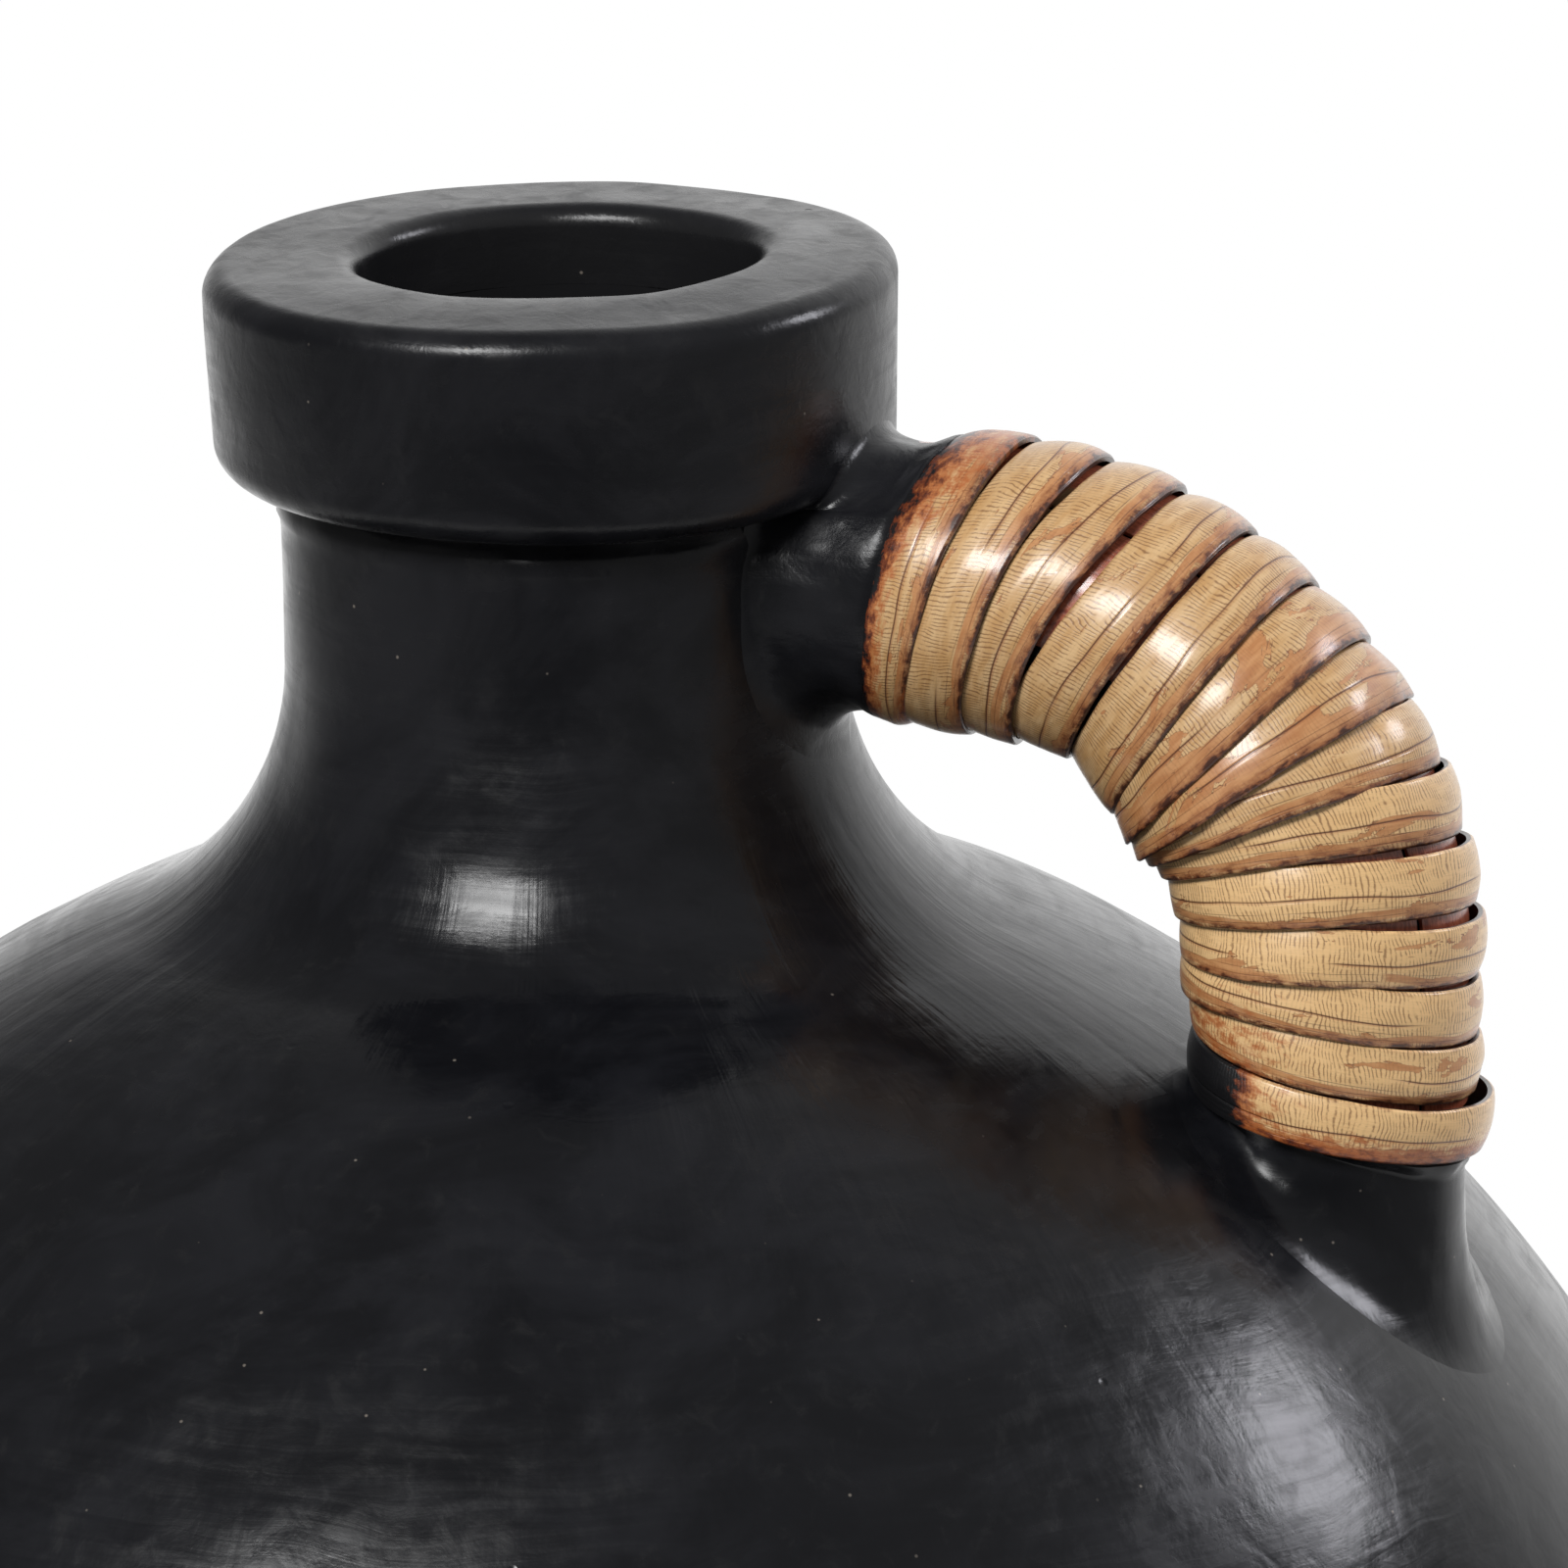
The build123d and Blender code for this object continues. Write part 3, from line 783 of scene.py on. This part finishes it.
def make_peel():
    """Lacquered rattan peel: tan skin with crazed varnish, worn to orange along its lower edge."""
    s = Shader("rattan_peel")
    along, across, turn = s.parts(s.attribute("strip", "Vector"))
    run = s.math("MULTIPLY", along, 1000)           # millimetres along the strip
    side = s.math("MULTIPLY", across, 6.3)          # millimetres across it

    def field(along_scale, across_scale, seed, detail=3, rough=0.6, warp=0.0):
        """Noise whose bumps are stretched along the strip."""
        at = s.joined(s.math("MULTIPLY", run, along_scale), s.math("MULTIPLY", side, across_scale), seed)
        return s.noise(at, 1, detail, rough, warp)

    def line(centre, wander, half_width, seed):
        """A gently wandering lengthwise line at a share of the strip's half width."""
        at = s.joined(s.math("MULTIPLY", run, 0.03), seed, 0)
        drift = s.fit(s.noise(at, 1, 2, 0.35), 0.25, 0.75, -1, 1)
        middle = s.math("ADD", centre, s.math("MULTIPLY", drift, wander))
        gap = s.math("ABSOLUTE", s.math("SUBTRACT", across, middle))
        return s.fit(gap, half_width, half_width * 0.25)

    # tan skin, faintly fibrous
    tone = field(0.10, 0.4, 0)
    fibre = field(0.2, 5, 1)
    skin = s.mix(s.fit(tone, 0.32, 0.68), colour(208, 162, 106), colour(229, 191, 140))
    # painted light: the lower turns face away from the key light, so they are painted paler to stand in for
    # the fill light they lack
    skin = s.mix(s.fit(turn, 7.4, 9.4, 0, 0.8), skin, colour(253, 210, 150))
    skin = s.mix(s.fit(fibre, 0.45, 0.75, 0, 0.3), skin, colour(182, 130, 82))

    # crazing: fine, nearly parallel wavering lines across the strip
    phase = s.math("ADD", s.math("DIVIDE", run, 0.78), s.math("MULTIPLY", field(0.10, 0.06, 3, 2), 7))
    phase = s.math("ADD", phase, s.math("MULTIPLY", field(0.7, 0.5, 4, 2), 0.8))
    craze = s.fit(s.math("PINGPONG", phase, 0.5), 0.24, 0.04)
    craze = s.math("MULTIPLY", craze, s.fit(field(0.22, 0.45, 7, 3), 0.38, 0.54, 0.12, 1))

    # worn bands and patches: smooth orange wood, with a thin broken dark outline
    patches = field(0.055, 0.15, 11, 5, 0.62, 0.5)
    bare_turns = s.math("MULTIPLY", s.fit(turn, 5.1, 5.5), s.fit(turn, 7.7, 7.2))
    patches = s.math("ADD", patches, s.math("MULTIPLY", bare_turns, 0.11))
    patches = s.math("ADD", patches, s.fit(across, 0.2, 0.9, -0.03, 0.08))
    band_edge = s.math("ADD", across, s.fit(field(0.03, 0, 21, 2, 0.4), 0.3, 0.7, -0.2, 0.12))
    band = s.math("MULTIPLY", s.fit(band_edge, 0.50, 0.52), s.fit(band_edge, 0.80, 0.78))
    band = s.math("MULTIPLY", band, s.fit(field(0.03, 0, 23, 1), 0.38, 0.42))
    worn = s.math("MAXIMUM", s.fit(patches, 0.60, 0.606), band)
    outline = s.fit(s.math("ABSOLUTE", s.math("SUBTRACT", patches, 0.603)), 0.007, 0.002)
    outline = s.math("MULTIPLY", outline, s.fit(field(0.4, 0.5, 13, 2), 0.35, 0.55, 0.25, 1))
    orange = s.mix(s.fit(field(0.15, 0.7, 14), 0.3, 0.7), colour(184, 116, 66), colour(212, 152, 100))
    base = s.mix(s.math("MULTIPLY", worn, 0.85), skin, orange)
    base = s.mix(s.math("MULTIPLY", outline, 0.7), base, colour(116, 60, 30))
    craze = s.math("MULTIPLY", craze, s.math("SUBTRACT", 1.0, s.math("MULTIPLY", worn, 0.75)))
    base = s.mix(s.math("MULTIPLY", craze, 0.68), base, colour(116, 70, 38))

    # lengthwise lines: a split with a reddish halo near the middle, and two beside the worn band
    here = s.fit(field(0.018, 0, 25, 1), 0.42, 0.48)
    split = s.math("MULTIPLY", line(0.14, 0.16, 0.03, 1.0), here)
    halo = s.math("MULTIPLY", line(0.16, 0.16, 0.09, 1.0), here)
    base = s.mix(s.math("MULTIPLY", halo, 0.35), base, colour(160, 92, 50))
    beside = s.math("MAXIMUM", line(0.50, 0.07, 0.02, 21.0), line(0.74, 0.06, 0.024, 41.0))
    broken = s.fit(field(0.06, 0, 27, 2), 0.35, 0.62, 0, 0.6)
    lines = s.math("MAXIMUM", split, s.math("MULTIPLY", beside, broken))
    base = s.mix(s.math("MULTIPLY", lines, 0.85), base, colour(100, 50, 26))

    # dark lower edge and cut faces: browner along both edges, partly real staining and partly painted shade
    # where the turns lap; the thin dark line along the lower edge and the dark cut faces and underside are
    # painted shade; then the stain that runs in from the painted clay
    ragged = s.math("ADD", across, s.fit(field(0.25, 0.5, 31, 4, 0.65), 0.25, 0.75, -0.16, 0.16))
    base = s.mix(s.fit(ragged, 0.62, 1.0, 0, 0.9), base, colour(124, 64, 36))
    # painted shadow line under each turn's lower edge
    base = s.mix(s.fit(ragged, 0.86, 1.0, 0, 0.9), base, colour(58, 28, 18))
    # upper edge browner: partly real staining, partly painted shade under the turn above
    base = s.mix(s.fit(ragged, -0.9, -1.1, 0, 0.6), base, colour(140, 84, 50))
    # painted shade on the cut faces and the underside
    base = s.mix(s.fit(s.attribute("skin", "Fac"), 0.98, 0.8), base, colour(58, 28, 20))
    uneven = s.fit(field(0.30, 0.45, 33, 5, 0.7), 0.25, 0.75, -0.3, 0.3)
    blot = s.math("ADD", s.attribute("stain", "Fac"), uneven)
    base = s.mix(s.fit(blot, 0.22, 0.6, 0, 0.85), base, colour(184, 100, 46))
    base = s.mix(s.fit(blot, 0.55, 0.85, 0, 0.92), base, colour(96, 38, 18))
    base = s.mix(s.fit(blot, 0.85, 1.0), base, (0.006, 0.006, 0.007, 1))
    flat = s.joined(run, side, 0)
    fleck_chance = s.fit(s.cells(flat, 0.4, "Color"), 0.93, 0.96)
    fleck = s.math("MULTIPLY", s.fit(s.cells(flat, 0.4), 0.14, 0.06), fleck_chance)
    base = s.mix(fleck, base, colour(228, 218, 204))

    height = s.math("SUBTRACT", s.math("MULTIPLY", fibre, 0.15), lines)
    height = s.math("SUBTRACT", height, s.math("MULTIPLY", halo, 0.5))
    height = s.math("SUBTRACT", height, s.math("MULTIPLY", craze, 0.2))
    height = s.math("SUBTRACT", height, s.math("MULTIPLY", worn, 0.3))
    normal = s.bump(height, 0.12 * MM)
    wavy = s.bump(s.math("ADD", field(0.12, 0.3, 41, 2), s.math("MULTIPLY", halo, -0.4)), 0.12 * MM)
    return s.finish(Base_Color=base, Roughness=s.fit(fibre, 0.3, 0.8, 0.36, 0.5), Normal=normal,
                    Coat_Weight=0.65, Coat_Roughness=s.fit(tone, 0.3, 0.7, 0.14, 0.27), Coat_Normal=wavy)


def make_lath_wood():
    """Stained, glossy red-brown cane, fibrous along its length, as seen between the turns."""
    s = Shader("rattan_lath")
    fibre = s.noise(s.stretched(s.place, 500, 2600, 500), 1, 4, 0.65, 0.4)
    blotch = s.noise(s.place, 90, 4, 0.6)
    base = s.mix(s.fit(fibre, 0.3, 0.7), colour(140, 62, 42), colour(206, 116, 82))
    base = s.mix(s.fit(blotch, 0.58, 0.75, 0, 0.8), base, colour(84, 36, 26))
    pale = s.fit(s.noise(s.place, 45, 2, 0.5), 0.64, 0.70, 0, 0.7)
    base = s.mix(pale, base, colour(150, 128, 90))
    normal = s.bump(fibre, 0.15 * MM)
    return s.finish(Base_Color=base, Roughness=s.fit(blotch, 0.3, 0.7, 0.22, 0.45), Normal=normal,
                    Coat_Weight=0.8, Coat_Roughness=0.15)


def make_floor_paint():
    """Pale matt studio floor that thins out into the white surroundings."""
    s = Shader("studio_floor")
    x, y, _ = s.parts(s.place)
    distance = s.math("SQRT", s.math("ADD", s.math("MULTIPLY", x, x), s.math("MULTIPLY", y, y)))
    tone = s.mix(s.noise(s.place, 30, 4, 0.6), (0.80, 0.80, 0.79, 1), (0.86, 0.86, 0.85, 1))
    return s.finish(Base_Color=tone, Roughness=0.9, Alpha=s.fit(distance, 0.75, 0.42))


# ---- building it all ---------------------------------------------------------------------------------
clay = make_clay("black_clay", 0.0, 1.0)
collar_clay = make_clay("black_clay_collar", 0.05, 2.6)
root_clay = make_clay("black_clay_brushed", 0.04, 3.2)
peel, lath_wood, floor_paint = make_peel(), make_lath_wood(), make_floor_paint()


def install(piece, nodes, material):
    """Puts a finished piece in place of its CAD nodes."""
    piece.data.materials.append(material)
    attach(piece, "root")
    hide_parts(*nodes)


for node, piece in make_pot().items():
    install(piece, [node], collar_clay if node == "rim_collar" else clay)

install(make_core(), ["handle_core"], clay)


def flare_above(around):
    below, above = smooth_step(-np.cos(around), 0.0, 1.0), smooth_step(np.cos(around), 0.3, 1.0)
    return (1.2 + 12 * below + 4 * above) * MM


def run_above(around):
    below, above = smooth_step(-np.cos(around), 0.0, 1.0), smooth_step(np.cos(around), 0.3, 1.0)
    return (3 + 7 * below + 5 * above) * MM


def flare_below(around):
    return (15 - 5 * np.cos(around)) * MM


def run_below(around):
    return (13 + 4 * np.cos(around)) * MM


upper_root = make_root("upper_handle_root_clay", root_end_above, wall_station_above, -1,
                       (ROOT_R + 0.2 * MM, ROOT_R - 1.3 * MM), 0.9, run_above, flare_above)
lower_root = make_root("lower_handle_root_clay", root_end_below, wall_station_below, 1,
                       (ROOT_R - 0.4 * MM, ROOT_R - 2.3 * MM), 0.3, run_below, flare_below)
install(upper_root, ["upper_handle_root"], root_clay)
install(lower_root, ["lower_handle_root"], clay)

for lath_name, degrees, seed in (("outer_lath", 0, 81), ("front_lath", 65, 85), ("back_lath", -65, 89)):
    install(make_lath(lath_name + "_cane", degrees, seed), [lath_name], lath_wood)

upper_strip = make_strip("upper_strip_peel", 0.5, STRIP_CHANGE, 91)
lower_strip = make_strip("lower_strip_peel", STRIP_CHANGE - 0.08, TURNS + 0.5, 95)
for strip in (upper_strip, lower_strip):
    mark_stain(strip)
install(upper_strip, [f"upper_strip_turn_{k}" for k in range(1, 6)], peel)
install(lower_strip, [f"lower_strip_turn_{k}" for k in range(1, 10)], peel)


# ---- floor, light and camera ------------------------------------------------------------------------
def bearing(azimuth, elevation):
    """Unit vector towards a compass direction round the pot: azimuth 0 is -Y and 90 is +X."""
    a, e = math.radians(azimuth), math.radians(elevation)
    return Vector((math.sin(a) * math.cos(e), -math.cos(a) * math.cos(e), math.sin(e)))


def add_softbox(name, azimuth, elevation, distance, width, height, radiance, shape, tint=(1, 1, 1)):
    """A soft light facing the upper part of the pot; radiance is its brightness."""
    light = bpy.data.lights.new(name, "AREA")
    light.shape = shape
    light.size, light.size_y = width, height
    light.energy = radiance * math.pi * width * height
    light.color = tint
    lamp = bpy.data.objects.new(name, light)
    out = bearing(azimuth, elevation)
    lamp.location = Vector((0, 0, 0.36)) + out * distance
    lamp.rotation_euler = out.to_track_quat("Z", "Y").to_euler()
    bpy.context.scene.collection.objects.link(lamp)


def make_floor():
    radius, rings, columns = 0.8, 24, 96
    rows = []
    for ring in range(1, rings + 1):
        angles = np.linspace(0, 2 * math.pi, columns, endpoint=False)
        reach = radius * ring / rings
        flat = np.stack([reach * np.cos(angles), reach * np.sin(angles), np.full(columns, -0.4 * MM)], 1)
        rows.append(flat)
    faces = grid_faces(rings, columns, close_columns=True)
    faces.append(tuple(range(columns)))
    floor = add_mesh("studio_floor", np.concatenate(rows), faces)
    floor.data.materials.append(floor_paint)


def make_surroundings():
    """White to the camera. As light: a bright backdrop behind the pot, dimmer elsewhere."""
    world = bpy.data.worlds.new("studio")
    bpy.context.scene.world = world
    world.use_nodes = True
    nodes, links = world.node_tree.nodes, world.node_tree.links
    direction = nodes.new("ShaderNodeTexCoord").outputs["Generated"]

    def wide_glow(towards, start, end, strength):
        """Brightness that grows with the cosine to a direction, from start to end."""
        facing = nodes.new("ShaderNodeVectorMath")
        facing.operation = "DOT_PRODUCT"
        facing.inputs[1].default_value = towards
        links.new(direction, facing.inputs[0])
        spread = nodes.new("ShaderNodeMapRange")
        spread.interpolation_type = "SMOOTHSTEP"
        for socket, value in zip(spread.inputs[1:5], (start, end, 0, strength)):
            socket.default_value = value
        links.new(facing.outputs["Value"], spread.inputs[0])
        return spread.outputs[0]

    total = None
    for glow in (wide_glow(bearing(180, -20), 0.3, 1, 0.85), wide_glow(bearing(175, 32), 0.7, 0.97, 0.52),
                 wide_glow(bearing(240, -45), 0.5, 1, 0.36), wide_glow(bearing(95, 10), 0.1, 1, 0.18),
                 wide_glow(bearing(0, 90), 0.2, 1, 0.09), wide_glow(bearing(-45, -30), 0.55, 1, 0.12),
                 wide_glow(bearing(0, -90), -1, -0.99, 0.12)):
        if total is None:
            total = glow
            continue
        both = nodes.new("ShaderNodeMath")
        links.new(total, both.inputs[0])
        links.new(glow, both.inputs[1])
        total = both.outputs[0]
    shade = nodes.new("ShaderNodeMix")
    shade.inputs[3].default_value = 1.0
    links.new(nodes.new("ShaderNodeLightPath").outputs["Is Camera Ray"], shade.inputs[0])
    links.new(total, shade.inputs[2])
    links.new(shade.outputs[0], nodes["Background"].inputs["Strength"])
    nodes["Background"].inputs["Color"].default_value = (1, 1, 1, 1)


def make_camera():
    """The long-lens view of the upper part of the pot, rolled a little clockwise."""
    azimuth, elevation, distance, field, roll = 20, 15.03, 2.2, 0.271, -1.11
    data = bpy.data.cameras.new("camera")
    data.sensor_width = 36
    data.lens = 36 * distance / field
    data.clip_start, data.clip_end = 0.05, 50
    camera = bpy.data.objects.new("camera", data)
    back = bearing(azimuth, elevation)
    across = Vector((math.cos(math.radians(azimuth)), math.sin(math.radians(azimuth)), 0))
    aim = across * 37.76 * MM + Vector((0, 0, HEIGHT - 95.38 * MM))
    up = back.cross(across)
    turn = Matrix.Rotation(math.radians(roll), 3, back)
    axes = Matrix((turn @ across, turn @ up, back)).transposed()
    camera.matrix_world = Matrix.Translation(aim + back * distance) @ axes.to_4x4()
    bpy.context.scene.collection.objects.link(camera)
    bpy.context.scene.camera = camera


make_floor()
make_surroundings()
add_softbox("key_softbox", -9.5, 40, 1.6, 0.68, 0.40, 23.5, "RECTANGLE")
add_softbox("right_softbox", 118, 28.8, 1.6, 0.5, 0.46, 10, "ELLIPSE", (0.93, 0.93, 1.0))
make_camera()
bpy.context.scene.view_settings.view_transform = "Standard"
